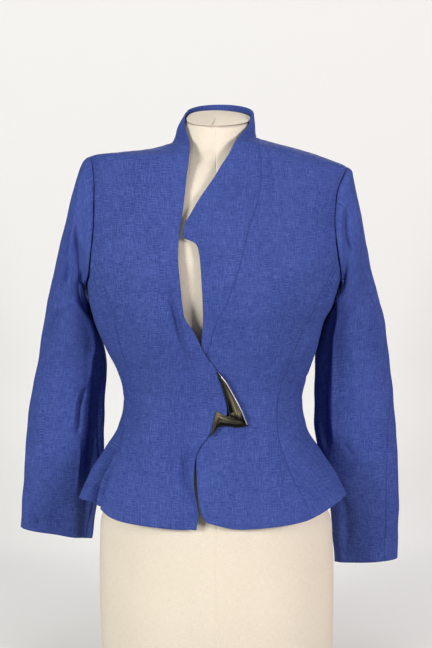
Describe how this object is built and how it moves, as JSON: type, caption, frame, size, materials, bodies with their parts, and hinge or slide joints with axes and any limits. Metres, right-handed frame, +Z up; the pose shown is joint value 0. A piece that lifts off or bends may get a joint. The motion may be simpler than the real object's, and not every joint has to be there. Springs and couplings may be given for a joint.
{
  "type": "fitted jacket on a dress form",
  "caption": "Fitted linen jacket with a stand collar, lapped cut-out front, angular metal clasp and flared peplum, closed on a limbless canvas dress form.",
  "frame": {"origin": "centre of the dress form's flat base, on the surface it stands on", "axes": "+Z up, the front of the jacket faces -Y, the wearer's left is at +X"},
  "size_m": [0.586, 0.2967, 0.8641],
  "materials": {
    "blue_linen": "matte plain weave with slubs",
    "dark_metal": "dark polished",
    "form_canvas": "matte canvas"
  },
  "bodies": {
    "root": {"front_right": "blue_linen", "front_left": "blue_linen", "front_left_collar": "blue_linen", "side_right": "blue_linen", "side_left": "blue_linen", "back_right": "blue_linen", "back_left": "blue_linen", "collar_back": "blue_linen", "sleeve_right_upper": "blue_linen", "sleeve_right_under": "blue_linen", "sleeve_left_upper": "blue_linen", "sleeve_left_under": "blue_linen", "clasp": "dark_metal", "dress_form": "form_canvas"}
  },
  "joints": []
}
